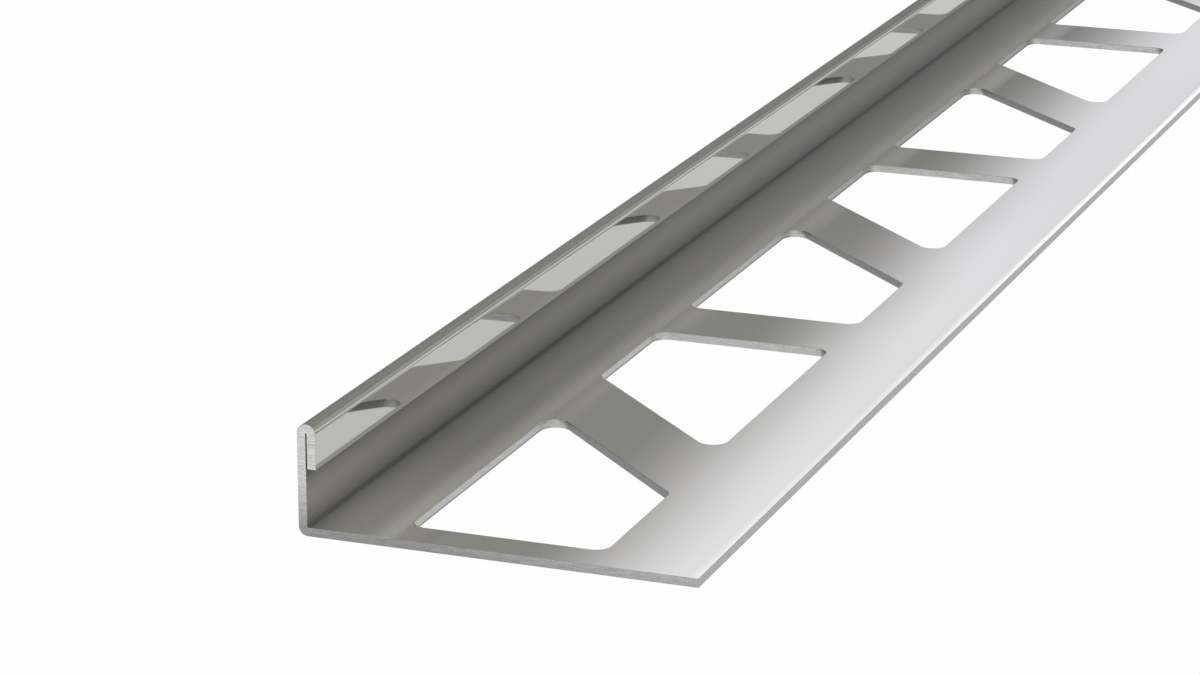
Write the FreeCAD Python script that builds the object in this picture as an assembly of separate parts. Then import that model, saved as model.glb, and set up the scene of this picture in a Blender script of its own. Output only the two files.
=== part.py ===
import FreeCAD, Part
import math
import os

os.makedirs("parts", exist_ok=True)

# Tile edge trim: one strip of thin sheet folded to an L. The short upright leg
# shows beside the finished tile edge and carries a folded-back lip at its top,
# the long flat leg lies in the adhesive under the tile and is pierced by a
# running row of trapezoid holes. Everything is in millimetres.
#
# Frame: X runs along the strip, Y across it with the upright leg on the +Y
# side, Z up. The origin is the middle of the resting footprint.

# Sheet and stock length
sheet = 0.8
stock_length = 1000.0

# Section: overall height is the tile thickness the trim is made for
trim_height = 10.0
leg_width = 36.0
lip_height = 4.0
inner_bend = 0.05

# Holes in the flat leg: the strips left beside the visible face and at the
# free edge, the short side of a hole, and the webs left between holes
hole_from_face = 8.75
free_margin = 9.5
hole_short_side = 15.75
hole_slant_deg = 45.0
hole_corner = 1.4
first_hole = 3.5
straight_web = 8.9
slanted_web = 8.4

# Derived section values
outer_bend = inner_bend + sheet
lip_gap = 2.0 * inner_bend
face_y = leg_width / 2.0
free_y = -leg_width / 2.0
near_x = -stock_length / 2.0
wall_inner_y = face_y - sheet
lip_outer_y = wall_inner_y - lip_gap
lip_inner_y = lip_outer_y - sheet
lip_end_z = trim_height - lip_height
crown_y = wall_inner_y - inner_bend
crown_z = trim_height - outer_bend
heel_y = face_y - outer_bend
heel_z = outer_bend


def section_point(y, z):
    return FreeCAD.Vector(near_x, y, z)


def line(a, b):
    return Part.LineSegment(a, b).toShape()


def arc(centre_y, centre_z, radius, start_deg, end_deg):
    # Arc of the section through its two ends and its middle
    points = []
    for angle in (start_deg, (start_deg + end_deg) / 2.0, end_deg):
        turn = math.radians(angle)
        y = centre_y + radius * math.cos(turn)
        z = centre_z + radius * math.sin(turn)
        points.append(section_point(y, z))
    return Part.Arc(points[0], points[1], points[2]).toShape()


# The folded sheet, drawn once round its outline from the free edge of the
# flat leg: underside, heel bend, visible face, crown of the hem, lip, then
# back inside the fold and down the inner faces to the free edge.
outline = [
    line(section_point(free_y, 0.0), section_point(heel_y, 0.0)),
    arc(heel_y, heel_z, outer_bend, -90.0, 0.0),
    line(section_point(face_y, heel_z), section_point(face_y, crown_z)),
    arc(crown_y, crown_z, outer_bend, 0.0, 180.0),
    line(section_point(lip_inner_y, crown_z), section_point(lip_inner_y, lip_end_z)),
    line(section_point(lip_inner_y, lip_end_z), section_point(lip_outer_y, lip_end_z)),
    line(section_point(lip_outer_y, lip_end_z), section_point(lip_outer_y, crown_z)),
    arc(crown_y, crown_z, inner_bend, 180.0, 0.0),
    line(section_point(wall_inner_y, crown_z), section_point(wall_inner_y, heel_z)),
    arc(heel_y, heel_z, inner_bend, 0.0, -90.0),
    line(section_point(heel_y, sheet), section_point(free_y, sheet)),
    line(section_point(free_y, sheet), section_point(free_y, 0.0)),
]
section = Part.Face(Part.Wire(outline))
folded_strip = section.extrude(FreeCAD.Vector(stock_length, 0.0, 0.0))

# The two hole shapes of a pair are one trapezoid and the same one turned by
# half a turn: one has its long side toward the upright leg, the other has it
# toward the free edge, so a slanted web is left between them.
slant = math.radians(hole_slant_deg)
hole_depth = leg_width - hole_from_face - free_margin
hole_long_side = hole_short_side + hole_depth / math.tan(slant)
hole_inner_y = face_y - hole_from_face
hole_outer_y = hole_inner_y - hole_depth
pair_length = hole_long_side + hole_short_side + slanted_web / math.sin(slant)
pair_pitch = pair_length + straight_web

# Only whole pairs of holes, with at least the near end's web left at the far end
pair_count = int((stock_length - 2.0 * first_hole + straight_web) // pair_pitch)


def rounded_opening(corners):
    # Closed outline of straight sides with every corner rounded, cut right
    # through the flat leg
    count = len(corners)
    starts = []
    ends = []
    arcs = []
    for index in range(count):
        here = corners[index]
        before = corners[index - 1]
        after = corners[(index + 1) % count]
        to_before = before.sub(here).normalize()
        to_after = after.sub(here).normalize()
        half = to_before.getAngle(to_after) / 2.0
        reach = hole_corner / math.tan(half)
        middle = to_before.add(to_after).normalize()
        inset = hole_corner / math.sin(half) - hole_corner
        start = here.add(to_before * reach)
        end = here.add(to_after * reach)
        via = here.add(middle * inset)
        starts.append(start)
        ends.append(end)
        arcs.append(Part.Arc(start, via, end).toShape())
    edges = []
    for index in range(count):
        edges.append(arcs[index])
        edges.append(line(ends[index], starts[(index + 1) % count]))
    face = Part.Face(Part.Wire(edges))
    return face.extrude(FreeCAD.Vector(0.0, 0.0, 3.0 * sheet))


def inward_hole(x):
    # Long side beside the upright leg, square side at x, slant at the far side
    z = -sheet
    return rounded_opening([
        FreeCAD.Vector(x, hole_inner_y, z),
        FreeCAD.Vector(x, hole_outer_y, z),
        FreeCAD.Vector(x + hole_short_side, hole_outer_y, z),
        FreeCAD.Vector(x + hole_long_side, hole_inner_y, z),
    ])


def outward_hole(x):
    # Long side beside the free edge, square side at x, slant at the near side
    z = -sheet
    return rounded_opening([
        FreeCAD.Vector(x, hole_outer_y, z),
        FreeCAD.Vector(x, hole_inner_y, z),
        FreeCAD.Vector(x - hole_short_side, hole_inner_y, z),
        FreeCAD.Vector(x - hole_long_side, hole_outer_y, z),
    ])


# The row starts with an inward hole close to the near end. Each outward hole
# ends one straight web before the next pair begins.
openings = []
for pair in range(pair_count):
    pair_x = near_x + first_hole + pair * pair_pitch
    openings.append(inward_hole(pair_x))
    openings.append(outward_hole(pair_x + pair_length))

trim_profile = folded_strip.cut(Part.makeCompound(openings))
trim_profile = trim_profile.removeSplitter()
trim_profile = trim_profile.Solids[0]
trim_profile.exportStep("parts/trim_profile.step")
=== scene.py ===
import math
import bmesh
import bpy
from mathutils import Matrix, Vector


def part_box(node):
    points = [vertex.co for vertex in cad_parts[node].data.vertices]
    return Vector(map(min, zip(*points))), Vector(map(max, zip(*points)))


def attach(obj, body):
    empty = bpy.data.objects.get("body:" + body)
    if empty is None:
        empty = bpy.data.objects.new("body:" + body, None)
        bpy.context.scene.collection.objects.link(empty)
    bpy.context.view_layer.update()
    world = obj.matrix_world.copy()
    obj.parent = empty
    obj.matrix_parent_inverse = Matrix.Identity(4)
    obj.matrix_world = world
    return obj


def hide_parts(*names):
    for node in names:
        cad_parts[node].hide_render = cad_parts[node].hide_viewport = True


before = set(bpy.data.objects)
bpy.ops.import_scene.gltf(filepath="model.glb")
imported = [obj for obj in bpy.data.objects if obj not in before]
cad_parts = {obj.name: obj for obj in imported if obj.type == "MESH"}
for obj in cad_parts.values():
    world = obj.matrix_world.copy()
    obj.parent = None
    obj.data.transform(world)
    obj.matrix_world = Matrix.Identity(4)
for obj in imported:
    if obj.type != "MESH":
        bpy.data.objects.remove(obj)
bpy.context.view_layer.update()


# The folded strip. The real trim is one band of polished stainless steel,
# roll-formed to an L: a flat anchoring leg, a tight heel bend, an upright and
# a hem, where the top edge is turned back down on the inside.
sheet = 0.0008
inner_bend = 0.00005
outer_bend = inner_bend + sheet
trim_height = 0.010
lip_end_z = 0.006
low_corner, high_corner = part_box("trim_profile")
near_x = low_corner.x
far_x = high_corner.x
free_y = low_corner.y
face_y = high_corner.y
wall_inner_y = face_y - sheet
heel_y = face_y - outer_bend
crown_z = trim_height - outer_bend
same_place = 0.000004


def near(a, b):
    return abs(a - b) < same_place


def pick(piece, kind, wanted):
    # Selects the vertices or the faces that pass a test, and nothing else
    bpy.ops.mesh.select_mode(type=kind)
    bpy.ops.mesh.select_all(action="DESELECT")
    work = bmesh.from_edit_mesh(piece.data)
    for element in work.verts if kind == "VERT" else work.faces:
        element.select = wanted(element)
    work.select_flush_mode()
    bmesh.update_edit_mesh(piece.data)


# The cut end of the flat leg comes first
bpy.ops.object.select_all(action="DESELECT")
bpy.ops.mesh.primitive_plane_add(
    size=1.0,
    location=(near_x, (free_y + heel_y) / 2, sheet / 2),
    rotation=(0.0, math.radians(90), 0.0),
)
trim = bpy.context.object
trim.name = "polished_trim"
trim.data.name = "polished_trim"
trim.scale = (sheet, heel_y - free_y, 1.0)
bpy.ops.object.transform_apply(location=True, rotation=True, scale=True)

# The section grows from it: the heel bend, the upright, the crown, the lip
bpy.ops.object.mode_set(mode="EDIT")
pick(trim, "VERT", lambda vertex: near(vertex.co.y, heel_y))
bpy.ops.mesh.spin(
    steps=12,
    angle=math.radians(-90),
    center=(near_x, heel_y, outer_bend),
    axis=(1.0, 0.0, 0.0),
)
bpy.ops.mesh.extrude_region_move(
    TRANSFORM_OT_translate={"value": (0.0, 0.0, crown_z - outer_bend)}
)
bpy.ops.mesh.spin(
    steps=36,
    angle=math.radians(-180),
    center=(near_x, heel_y, crown_z),
    axis=(1.0, 0.0, 0.0),
)
bpy.ops.mesh.extrude_region_move(
    TRANSFORM_OT_translate={"value": (0.0, 0.0, lip_end_z - crown_z)}
)
bpy.ops.mesh.select_all(action="SELECT")
bpy.ops.mesh.remove_doubles(threshold=0.000001)

# The section is drawn out to the strip's full length
bpy.ops.mesh.select_all(action="SELECT")
bpy.ops.mesh.extrude_region_move(
    TRANSFORM_OT_translate={"value": (far_x - near_x, 0.0, 0.0)}
)
bpy.ops.mesh.select_all(action="SELECT")
bpy.ops.mesh.normals_make_consistent(inside=False)
bpy.ops.object.mode_set(mode="OBJECT")


# The punched holes. The real leg is pierced on a press before it is folded,
# by one trapezoid punch used both ways round, so that a slanted web is left
# inside each pair of holes and a straight one between the pairs.
hole_from_face = 0.00875
free_margin = 0.0095
hole_inner_y = face_y - hole_from_face
hole_outer_y = free_y + free_margin
hole_middle_y = (hole_inner_y + hole_outer_y) / 2
hole_depth = hole_inner_y - hole_outer_y
short_side = 0.01575
long_side = short_side + hole_depth
corner_radius = 0.0014
first_hole = 0.0035
straight_web = 0.0089
slanted_web = 0.0084
pair_length = long_side + short_side + slanted_web * math.sqrt(2)
pair_pitch = pair_length + straight_web
pair_count = int((far_x - near_x - 2 * first_hole + straight_web) // pair_pitch)
punch_x = near_x + first_hole

bpy.ops.object.select_all(action="DESELECT")
bpy.ops.mesh.primitive_plane_add(
    size=1.0, location=(punch_x + long_side / 2, hole_middle_y, -sheet)
)
punch = bpy.context.object
punch.name = "punch"
punch.scale = (long_side, hole_depth, 1.0)
bpy.ops.object.transform_apply(location=True, rotation=True, scale=True)
bpy.ops.object.mode_set(mode="EDIT")


def pick_corner(x, y):
    pick(
        punch, "VERT",
        lambda vertex: near(vertex.co.x, x) and near(vertex.co.y, y),
    )


# One corner moves in by the hole's depth, so the slanted side lies at 45 degrees
pick_corner(punch_x + long_side, hole_outer_y)
bpy.ops.transform.translate(value=(-hole_depth, 0.0, 0.0))

# Each corner gets the punch's radius: the cut-back along the sides and the
# profile of the bevel both follow from the angle of the corner
for corner_x, corner_y, corner_angle in (
    (punch_x, hole_inner_y, 90.0),
    (punch_x, hole_outer_y, 90.0),
    (punch_x + short_side, hole_outer_y, 135.0),
    (punch_x + long_side, hole_inner_y, 45.0),
):
    half_angle = math.radians(corner_angle / 2)
    pick_corner(corner_x, corner_y)
    bpy.ops.mesh.bevel(
        affect="VERTICES",
        offset=corner_radius / math.tan(half_angle),
        segments=10,
        profile=(1 - 1 / (2 * (1 + math.sin(half_angle)))) ** 2,
    )
bpy.ops.mesh.select_all(action="SELECT")
bpy.ops.mesh.extrude_region_move(
    TRANSFORM_OT_translate={"value": (0.0, 0.0, 3 * sheet)}
)
bpy.ops.mesh.select_all(action="SELECT")
bpy.ops.mesh.normals_make_consistent(inside=False)

# The second hole of a pair is the same punch turned half round
pair_middle = Vector((punch_x + pair_length / 2, hole_middle_y, sheet / 2))
bpy.ops.mesh.duplicate()
bpy.ops.transform.rotate(
    value=math.radians(180), orient_axis="Z", center_override=pair_middle
)
bpy.ops.object.mode_set(mode="OBJECT")
row = punch.modifiers.new("row", "ARRAY")
row.count = pair_count
row.use_relative_offset = False
row.use_constant_offset = True
row.constant_offset_displace = (pair_pitch, 0.0, 0.0)
bpy.ops.object.modifier_apply(modifier="row")

bpy.ops.object.select_all(action="DESELECT")
bpy.context.view_layer.objects.active = trim
trim.select_set(True)
pierce = trim.modifiers.new("pierce", "BOOLEAN")
pierce.operation = "DIFFERENCE"
pierce.solver = "EXACT"
pierce.object = punch
bpy.ops.object.modifier_apply(modifier="pierce")
bpy.data.objects.remove(punch, do_unlink=True)


# The sawn and punched faces. On the real trim the ends, the walls of the
# holes, the free edge and the lip's edge are bare cut metal, duller and paler
# than the polished faces, with a fine grain from the shears.
polished = bpy.data.materials.new("polished_stainless")
cut = bpy.data.materials.new("cut_stainless")
trim.data.materials.append(polished)
trim.data.materials.append(cut)
punch_margin = 0.00001
arris_width = 0.00004


def is_cut(face):
    middle = face.calc_center_median()
    at_end = abs(face.normal.x) > 0.9 and (
        near(middle.x, near_x) or near(middle.x, far_x)
    )
    at_free_edge = face.normal.y < -0.9 and near(middle.y, free_y)
    at_lip = face.normal.z < -0.9 and near(middle.z, lip_end_z)
    in_hole = (
        abs(face.normal.z) < 0.1
        and 0.0 < middle.z < sheet
        and hole_outer_y - punch_margin < middle.y < hole_inner_y + punch_margin
        and not at_end
    )
    return at_end or at_free_edge or at_lip or in_hole


bpy.ops.object.mode_set(mode="EDIT")
pick(trim, "FACE", is_cut)
trim.active_material_index = 1
bpy.ops.object.material_slot_assign()
bpy.ops.object.mode_set(mode="OBJECT")

# Shearing and polishing leave every arris slightly rounded
arris = trim.modifiers.new("arris", "BEVEL")
arris.width = arris_width
arris.segments = 2
arris.limit_method = "ANGLE"
arris.angle_limit = math.radians(40)
bpy.ops.object.modifier_apply(modifier="arris")
bpy.ops.object.shade_smooth_by_angle(angle=math.radians(50))
flats = trim.modifiers.new("flats", "WEIGHTED_NORMAL")
flats.keep_sharp = True
bpy.ops.object.modifier_apply(modifier="flats")


# The polish. Wheels give the real sheet a warm grey mirror before it is folded.
# They reach poorly into the fold, which is left less glossy, and the crown is
# left a little matt. The colour carries painted shade in the fold's corners and
# on the crown, and painted light on the leg beside the heel, the rim and the
# hem's shoulder.
def add_node(tree, kind, **settings):
    made = tree.nodes.new(kind)
    for name, value in settings.items():
        setattr(made, name, value)
    return made


def calculate(tree, operation, first, second=None, clamp=False):
    # One Math node, with each input a socket or a plain number
    made = add_node(tree, "ShaderNodeMath", operation=operation, use_clamp=clamp)
    for index, value in enumerate((first, second)):
        if isinstance(value, (int, float)):
            made.inputs[index].default_value = value
        elif value is not None:
            tree.links.new(value, made.inputs[index])
    return made.outputs[0]


def total(tree, first, *others):
    for value in others:
        first = calculate(tree, "ADD", first, value)
    return first


def product(tree, first, *others):
    for value in others:
        first = calculate(tree, "MULTIPLY", first, value)
    return first


def what_is_left(tree, value):
    return calculate(tree, "SUBTRACT", 1.0, value)


def find_place(tree):
    # The place on the strip: the node, then the place along the strip, across
    # it and up from the floor
    place = tree.nodes.new("ShaderNodeTexCoord")
    split = tree.nodes.new("ShaderNodeSeparateXYZ")
    tree.links.new(place.outputs["Object"], split.inputs[0])
    return place, split.outputs["X"], split.outputs["Y"], split.outputs["Z"]


def start_group(name, result, **inputs):
    # A node group with numbers as its named inputs and one number as result
    group = bpy.data.node_groups.new(name, "ShaderNodeTree")
    for label, value in inputs.items():
        socket = group.interface.new_socket(
            label.replace("_", " "), in_out="INPUT", socket_type="NodeSocketFloat"
        )
        socket.default_value = value
    group.interface.new_socket(
        result, in_out="OUTPUT", socket_type="NodeSocketFloat"
    )
    return group, group.nodes.new("NodeGroupInput"), group.nodes.new("NodeGroupOutput")


def place_group(tree, group, **values):
    made = add_node(tree, "ShaderNodeGroup", node_tree=group)
    for label, value in values.items():
        made.inputs[label.replace("_", " ")].default_value = value
    return made.outputs[0]


# Shade that deepens towards one line along the strip, given by its place in
# Y and Z, and starts at a reach from it
fold_shade, shade_in, shade_out = start_group(
    "fold_shade", "Shade", Line_Y=0.0, Line_Z=0.0, Reach=0.004, Depth=0.4
)
_, _, shade_across, shade_height = find_place(fold_shade)
off_y = calculate(fold_shade, "SUBTRACT", shade_across, shade_in.outputs["Line Y"])
off_z = calculate(fold_shade, "SUBTRACT", shade_height, shade_in.outputs["Line Z"])
distance = calculate(
    fold_shade, "SQRT",
    total(
        fold_shade,
        product(fold_shade, off_y, off_y),
        product(fold_shade, off_z, off_z),
    ),
)
closeness = what_is_left(
    fold_shade,
    calculate(fold_shade, "DIVIDE", distance, shade_in.outputs["Reach"], clamp=True),
)
fold_shade.links.new(
    product(fold_shade, closeness, closeness, shade_in.outputs["Depth"]),
    shade_out.inputs["Shade"],
)


def add_noise(tree, pattern_place, scale, detail):
    noise = tree.nodes.new("ShaderNodeTexNoise")
    noise.inputs["Scale"].default_value = scale
    noise.inputs["Detail"].default_value = detail
    tree.links.new(pattern_place, noise.inputs["Vector"])
    return noise


# Fine parallel lines that rolling and shearing leave in stainless steel:
# long in one direction, close together in the others
line_grain, grain_in, grain_out = start_group(
    "line_grain", "Lines", Along=30.0, Across=9000.0, Detail=3.0
)
grain_place = find_place(line_grain)[0]
grain_spacing = line_grain.nodes.new("ShaderNodeCombineXYZ")
line_grain.links.new(grain_in.outputs["Along"], grain_spacing.inputs["X"])
line_grain.links.new(grain_in.outputs["Across"], grain_spacing.inputs["Y"])
line_grain.links.new(grain_in.outputs["Across"], grain_spacing.inputs["Z"])
grain_stretch = add_node(line_grain, "ShaderNodeVectorMath", operation="MULTIPLY")
line_grain.links.new(grain_place.outputs["Object"], grain_stretch.inputs[0])
line_grain.links.new(grain_spacing.outputs[0], grain_stretch.inputs[1])
grain_noise = add_noise(line_grain, grain_stretch.outputs[0], 1.0, 0.0)
line_grain.links.new(grain_in.outputs["Detail"], grain_noise.inputs["Detail"])
line_grain.links.new(grain_noise.outputs[0], grain_out.inputs["Lines"])


def change(tree, kind, value, start, end, before, after):
    made = add_node(tree, "ShaderNodeMapRange", interpolation_type=kind)
    tree.links.new(value, made.inputs["Value"])
    made.inputs["From Min"].default_value = start
    made.inputs["From Max"].default_value = end
    made.inputs["To Min"].default_value = before
    made.inputs["To Max"].default_value = after
    return made.outputs["Result"]


def soft(tree, value, start, end, before=0.0, after=1.0):
    # Eases from one level to another as the value goes from start to end
    return change(tree, "SMOOTHSTEP", value, start, end, before, after)


def steady(tree, value, start, end, before=0.0, after=1.0):
    # Goes at an even rate from one level to another
    return change(tree, "LINEAR", value, start, end, before, after)


def under(tree, value, limit):
    return calculate(tree, "LESS_THAN", value, limit)


def over(tree, value, limit):
    return calculate(tree, "GREATER_THAN", value, limit)


def add_ramp(tree, value, first, *between, last):
    # Color Ramp, with each stop a position and its red, green and blue
    ramp = tree.nodes.new("ShaderNodeValToRGB")
    elements = ramp.color_ramp.elements
    elements[0].position, elements[1].position = first[0], last[0]
    elements[0].color, elements[1].color = (*first[1], 1.0), (*last[1], 1.0)
    for position, color in between:
        elements.new(position).color = (*color, 1.0)
    tree.links.new(value, ramp.inputs[0])
    return ramp.outputs[0]


def add_relief(tree, height, strength, depth):
    relief = tree.nodes.new("ShaderNodeBump")
    relief.inputs["Strength"].default_value = strength
    relief.inputs["Distance"].default_value = depth
    tree.links.new(height, relief.inputs["Height"])
    return relief.outputs[0]


def shade_color(tree, color, light):
    shaded = add_node(tree, "ShaderNodeVectorMath", operation="SCALE")
    tree.links.new(color, shaded.inputs[0])
    tree.links.new(light, shaded.inputs["Scale"])
    return shaded.outputs[0]


polished.use_nodes = True
tree = polished.node_tree
shader = tree.nodes["Principled BSDF"]
shader.inputs["Metallic"].default_value = 1.0
place, along, across, height = find_place(tree)

# Places where the gloss and the painted light and shade of the polish change:
# across the strip the zone beside the heel starts where the holes end, and
# along it the painted light and shade change over the first two tenths of a metre
fold_start_y = hole_inner_y - 0.00075
fold_full_y = hole_inner_y + 0.00025
leg_full_y = 0.0108
web_root_start_y = 0.0052
web_root_full_y = 0.0062
rim_start_y = free_y + 0.0009
rim_full_y = free_y + 0.0002
near_tone_x = near_x + 0.05
far_tone_x = near_x + 0.2

# Each of these is 1 on one part of the strip and 0 off it
inside = product(
    tree,
    under(tree, across, wall_inner_y + sheet / 2),
    over(tree, height, sheet / 2),
)
below_lip = product(tree, inside, under(tree, height, lip_end_z - 0.0001))
in_fold = product(tree, below_lip, soft(tree, across, fold_start_y, fold_full_y))
on_leg = product(tree, in_fold, under(tree, height, sheet + 0.0002))
on_upright = product(tree, inside, over(tree, across, wall_inner_y - sheet / 2))
on_web_root = product(
    tree, below_lip,
    soft(tree, across, web_root_start_y, web_root_full_y),
    soft(tree, across, fold_start_y, fold_full_y, 1.0, 0.0),
)
on_rim = product(
    tree,
    soft(tree, across, rim_start_y, rim_full_y),
    over(tree, height, sheet / 2),
)
on_crown = soft(tree, height, crown_z + 0.00032, crown_z + 0.0006)
on_shoulder = product(
    tree, inside,
    soft(tree, height, crown_z + 0.00015, crown_z + 0.00025),
    soft(tree, height, crown_z + 0.00036, crown_z + 0.00046, 1.0, 0.0),
)

# Painted light, paler than the plain sheet: the fold, the leg beside the heel
# and most at the sawn end, and a painted highlight on the rim of the leg and
# along the shoulder of the hem
painted_leg_light = product(
    tree, on_leg,
    soft(tree, across, fold_start_y, leg_full_y, 0.45, 1.0),
    total(
        tree,
        soft(tree, along, near_x, near_x + 0.03, 0.46, 0.0),
        steady(tree, along, near_tone_x, far_tone_x, 0.44, 0.27),
    ),
)
painted_lightening = total(
    tree, 1.0,
    product(tree, in_fold, 0.11),
    painted_leg_light,
    product(tree, on_rim, steady(tree, along, near_tone_x, far_tone_x, 0.2, 1.43)),
    product(tree, on_shoulder, 0.3),
)

# Painted shade, darker than the plain sheet: the crown, more so further along,
# and the roots of the webs
painted_dimming = total(
    tree,
    product(
        tree, on_crown, steady(tree, along, near_x + 0.06, far_tone_x, 0.33, 0.53)
    ),
    product(tree, on_web_root, 0.15),
)

# Shade in the corner of the heel, wide and faint all round it and closer and
# deeper on the leg, and shade on the upright under the lip
heel_shade = place_group(
    tree, fold_shade, Line_Y=wall_inner_y, Line_Z=sheet, Reach=0.0075, Depth=0.37
)
leg_shade = place_group(
    tree, fold_shade, Line_Y=wall_inner_y, Line_Z=sheet, Reach=0.0056, Depth=0.62
)
lip_shade = place_group(
    tree, fold_shade, Line_Y=wall_inner_y, Line_Z=lip_end_z, Reach=0.0055, Depth=0.95
)
polish_light = product(
    tree,
    calculate(tree, "SUBTRACT", painted_lightening, painted_dimming),
    what_is_left(tree, product(tree, inside, heel_shade)),
    what_is_left(tree, product(tree, on_leg, leg_shade)),
    what_is_left(tree, product(tree, on_upright, lip_shade)),
)

# The steel's warm grey drifts a little along the strip. Away from the near end
# the upright turns to a cooler grey.
warm_grey = add_ramp(
    tree, add_noise(tree, place.outputs["Object"], 12.0, 1.0).outputs[0],
    (0.3, (0.443, 0.443, 0.421)),
    last=(0.7, (0.457, 0.454, 0.441)),
)
cooler = add_node(tree, "ShaderNodeMix", data_type="RGBA")
tree.links.new(
    product(tree, on_upright, soft(tree, along, near_tone_x, near_x + 0.14)),
    cooler.inputs[0],
)
tree.links.new(warm_grey, cooler.inputs[6])
cooler.inputs[7].default_value = (0.49, 0.495, 0.515, 1.0)
tree.links.new(
    shade_color(tree, cooler.outputs[2], polish_light), shader.inputs["Base Color"]
)

# Gloss: a mirror with faint rolling lines, less keen where wheels reach poorly
rolling = place_group(tree, line_grain, Along=8.0, Across=5000.0, Detail=2.0)
tree.links.new(
    total(
        tree, 0.025,
        product(tree, rolling, 0.02),
        product(tree, on_crown, 0.24),
        product(tree, on_leg, 0.26),
        product(tree, on_web_root, 0.075),
    ),
    shader.inputs["Roughness"],
)

# Rolled sheet is never quite flat, which shows as a slow waviness
waves = add_noise(tree, place.outputs["Object"], 45.0, 0.0)
tree.links.new(
    add_relief(tree, waves.outputs[0], 1.0, 0.00001), shader.inputs["Normal"]
)


# The cut faces' finish. Saw and punch leave bare metal, brighter and matt,
# speckled, with short scratches that lie aslant across the thickness. Painted
# light makes it brightest high on the upright's end, and painted shade makes it
# darkest at the heel.
cut.use_nodes = True
tree = cut.node_tree
shader = tree.nodes["Principled BSDF"]
shader.inputs["Metallic"].default_value = 1.0
place, along, across, height = find_place(tree)

# The lip's edge, hidden from above, gets painted light, paler than the other
# cuts, so that the leg mirrors it lighter, and it is also rougher
middle_x = (near_x + far_x) / 2
from_middle = calculate(
    tree, "ABSOLUTE", calculate(tree, "SUBTRACT", along, middle_x)
)
between_ends = under(tree, from_middle, (far_x - near_x) / 2 - 0.0001)
on_lip_edge = product(tree, between_ends, over(tree, height, lip_end_z - 0.0005))
# Painted shade darkens the cut faces towards the heel, and painted light makes them
# paler high up, towards the free edge and on the lip's edge
painted_shade_z = -0.0012
painted_light_z = 0.0062
edge_light = total(
    tree,
    soft(tree, height, painted_shade_z, painted_light_z, 0.34, 0.81),
    steady(tree, across, 0.008, -0.016, 0.0, 0.16),
    product(tree, on_lip_edge, 0.35),
)

# Walls of the holes: the punch leaves them pale. Painted shade darkens the
# slanted ones, which lean towards the upright, and the inner side further
# along, and the inner side is darker towards its foot.
in_hole_row = product(
    tree,
    over(tree, across, free_y + 0.001),
    calculate(tree, "SUBTRACT", between_ends, on_lip_edge),
)
turned = tree.nodes.new("ShaderNodeSeparateXYZ")
tree.links.new(place.outputs["Normal"], turned.inputs[0])
turned_across = turned.outputs["Y"]
leaning_wall = product(
    tree,
    soft(tree, turned_across, 0.2, 0.6),
    soft(tree, turned_across, 0.75, 0.92, 1.0, 0.0),
)
inner_wall = soft(tree, turned_across, -0.5, -0.9)
hole_light = calculate(
    tree, "SUBTRACT", 0.66,
    total(
        tree,
        product(tree, leaning_wall, 0.3),
        product(
            tree, inner_wall, soft(tree, along, near_x + 0.04, near_x + 0.16, 0.0, 0.22)
        ),
        product(tree, inner_wall, soft(tree, height, 0.00028, 0.0001, 0.0, 0.3)),
    ),
)
cut_light = total(
    tree,
    product(tree, edge_light, what_is_left(tree, in_hole_row)),
    product(tree, hole_light, in_hole_row),
)

# Grain of the cut: even speckle and aslant scratches, half of each
speckle = place_group(tree, line_grain, Along=6500.0, Across=6500.0, Detail=2.0)
aslant = tree.nodes.new("ShaderNodeMapping")
aslant.inputs["Rotation"].default_value = (math.radians(38), 0.0, math.radians(20))
aslant.inputs["Scale"].default_value = (2600.0, 900.0, 11000.0)
tree.links.new(place.outputs["Object"], aslant.inputs["Vector"])
scratches = add_noise(tree, aslant.outputs[0], 1.0, 1.0)
shear_grain = total(
    tree, product(tree, speckle, 0.5), product(tree, scratches.outputs[0], 0.5)
)
cut_grey = add_ramp(
    tree, shear_grain, (0.38, (0.70, 0.70, 0.70)), last=(0.62, (1.0, 1.0, 1.0))
)
tree.links.new(shade_color(tree, cut_grey, cut_light), shader.inputs["Base Color"])
tree.links.new(
    total(
        tree, 0.45,
        product(tree, shear_grain, 0.15),
        product(tree, on_lip_edge, 0.3),
    ),
    shader.inputs["Roughness"],
)
tree.links.new(add_relief(tree, shear_grain, 0.6, 0.00003), shader.inputs["Normal"])

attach(trim, "root")
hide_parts("trim_profile")


# The ground. The strip lies on a seamless sheet of white card, so large and so
# evenly lit that it turns to pure white wherever it is seen or mirrored.
bpy.ops.object.select_all(action="DESELECT")
bpy.ops.mesh.primitive_plane_add(size=60.0, location=(0.0, 0.0, -0.0001))
ground = bpy.context.object
ground.name = "white_ground"
ground_white = bpy.data.materials.new("ground_white")
ground_white.use_nodes = True
tree = ground_white.node_tree
shader = tree.nodes["Principled BSDF"]
shader.inputs["Base Color"].default_value = (0.9, 0.9, 0.9, 1.0)
shader.inputs["Roughness"].default_value = 0.9
shader.inputs["Specular IOR Level"].default_value = 0.0
paths = tree.nodes.new("ShaderNodeLightPath")
seen = calculate(
    tree, "MAXIMUM",
    calculate(
        tree, "MAXIMUM",
        paths.outputs["Is Camera Ray"], paths.outputs["Is Glossy Ray"],
    ),
    paths.outputs["Is Transmission Ray"],
)
white = tree.nodes.new("ShaderNodeEmission")
white.inputs["Color"].default_value = (1.0, 1.0, 1.0, 1.0)
blend = tree.nodes.new("ShaderNodeMixShader")
tree.links.new(product(tree, seen, 0.98), blend.inputs[0])
tree.links.new(shader.outputs[0], blend.inputs[1])
tree.links.new(white.outputs[0], blend.inputs[2])
tree.links.new(blend.outputs[0], tree.nodes["Material Output"].inputs["Surface"])
ground.data.materials.append(ground_white)


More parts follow.
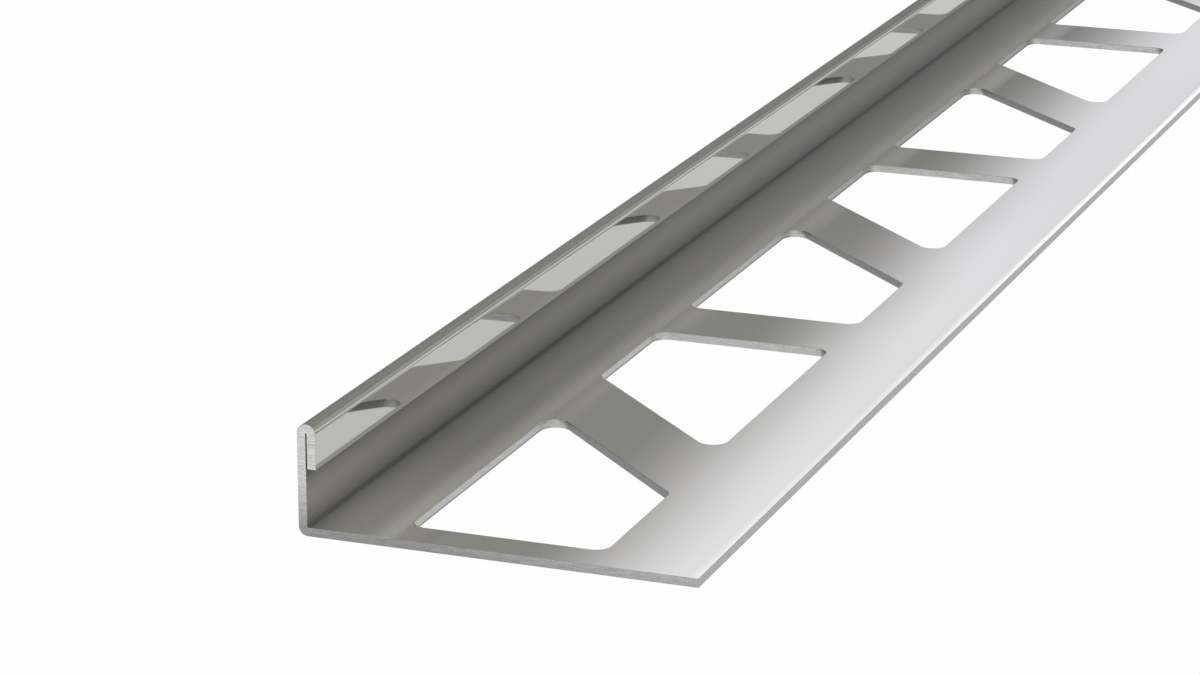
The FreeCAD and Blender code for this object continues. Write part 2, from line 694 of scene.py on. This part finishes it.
# The light tunnel. The strip lies in a half-round of grey cloth, open at both
# ends and kept out of the picture. A long soft light is let into its left side,
# and a paler stripe into its right side, for the polished faces to mirror.
tunnel_radius = 3.0
bpy.ops.object.select_all(action="DESELECT")
bpy.ops.mesh.primitive_cylinder_add(
    vertices=192,
    radius=tunnel_radius,
    depth=20.0,
    end_fill_type="NOTHING",
    location=(5.0, 0.0, 0.0),
    rotation=(0.0, math.radians(90), 0.0),
)
tunnel = bpy.context.object
tunnel.name = "grey_tunnel"
bpy.ops.object.transform_apply(location=True, rotation=True, scale=True)
bpy.ops.object.mode_set(mode="EDIT")
bpy.ops.mesh.select_all(action="SELECT")
bpy.ops.mesh.bisect(
    plane_co=(0.0, 0.0, 0.0), plane_no=(0.0, 0.0, 1.0), clear_inner=True
)
bpy.ops.object.mode_set(mode="OBJECT")
tunnel.visible_camera = False

tunnel_cloth = bpy.data.materials.new("tunnel_cloth")
tunnel_cloth.use_nodes = True
tree = tunnel_cloth.node_tree
tree.nodes.remove(tree.nodes["Principled BSDF"])
place, along, across, height = find_place(tree)

# The cloth that the strip mirrors lies metres away down the tunnel: these are
# the places between which its tone and the soft light fade
fade_start_x = 4.9
tone_end_x = 7.6
light_end_x = 8.6

# Grey of the cloth by its angle round the strip, in degrees up from the side
# of the upright, with the paler stripe from 132 to 153
angle = product(
    tree, calculate(tree, "ARCTAN2", height, across), math.degrees(1.0)
)
half_turn = 180.0
cloth_greys = (
    (43, 0.455), (50, 0.43), (60, 0.56), (70, 0.64), (90, 0.70), (112, 0.66),
    (125, 0.54), (132, 0.70), (135, 1.08), (139.7, 1.08), (141.0, 0.93),
    (149, 0.93), (153, 0.55),
)
cloth = add_ramp(
    tree, calculate(tree, "DIVIDE", angle, half_turn),
    (0.0, (0.36, 0.36, 0.36)),
    *((degrees / half_turn, (grey, grey, grey)) for degrees, grey in cloth_greys),
    last=(1.0, (0.54, 0.54, 0.54)),
)
tone = add_ramp(
    tree, steady(tree, along, fade_start_x, tone_end_x),
    (0.0, (1.0, 0.99, 0.935)),
    last=(1.0, (0.755, 0.75, 0.725)),
)

# The soft light's lower edge sinks further along, by a lean in degrees a metre,
# and its upper edge stays level
light_lean = 0.58
leaning_angle = total(
    tree, angle,
    product(tree, calculate(tree, "SUBTRACT", along, fade_start_x), light_lean),
)
light_band = product(
    tree,
    soft(tree, leaning_angle, 43.9, 48.85),
    soft(tree, angle, 48.6, 49.2, 1.0, 0.0),
    steady(tree, along, fade_start_x, light_end_x, 1.12, 0.86),
)
band_color = add_node(tree, "ShaderNodeVectorMath", operation="SCALE")
band_color.inputs[0].default_value = (0.99, 0.98, 1.06)
tree.links.new(light_band, band_color.inputs["Scale"])
lit_cloth = add_node(tree, "ShaderNodeVectorMath", operation="MULTIPLY_ADD")
tree.links.new(cloth, lit_cloth.inputs[0])
tree.links.new(tone, lit_cloth.inputs[1])
tree.links.new(band_color.outputs[0], lit_cloth.inputs[2])
glow = tree.nodes.new("ShaderNodeEmission")
tree.links.new(lit_cloth.outputs[0], glow.inputs["Color"])
tree.links.new(glow.outputs[0], tree.nodes["Material Output"].inputs["Surface"])
tunnel.data.materials.append(tunnel_cloth)


# The surroundings. Past the tunnel's open ends and below it everything is
# white, as in a light tent.
surround = bpy.data.worlds.new("white_tent")
bpy.context.scene.world = surround
surround.use_nodes = True
tent_light = surround.node_tree.nodes["Background"]
tent_light.inputs["Color"].default_value = (1.0, 1.0, 1.0, 1.0)
tent_light.inputs["Strength"].default_value = 1.0


# The camera. It stands off the near end with a long lens, and looks down along
# the strip from the side of the free edge.
lens_data = bpy.data.cameras.new("camera")
lens_data.sensor_width = 36.0
lens_data.lens = 121.74
lens_data.clip_start = 0.01
lens_data.clip_end = 100.0
camera = bpy.data.objects.new("camera", lens_data)
bpy.context.collection.objects.link(camera)
camera.location = (-0.79409, -0.12159, 0.11626)
heading = Vector((0.89382, 0.34113, -0.29104))
camera.rotation_euler = heading.to_track_quat("-Z", "Y").to_euler()
bpy.context.scene.camera = camera
bpy.context.scene.view_settings.view_transform = "Standard"
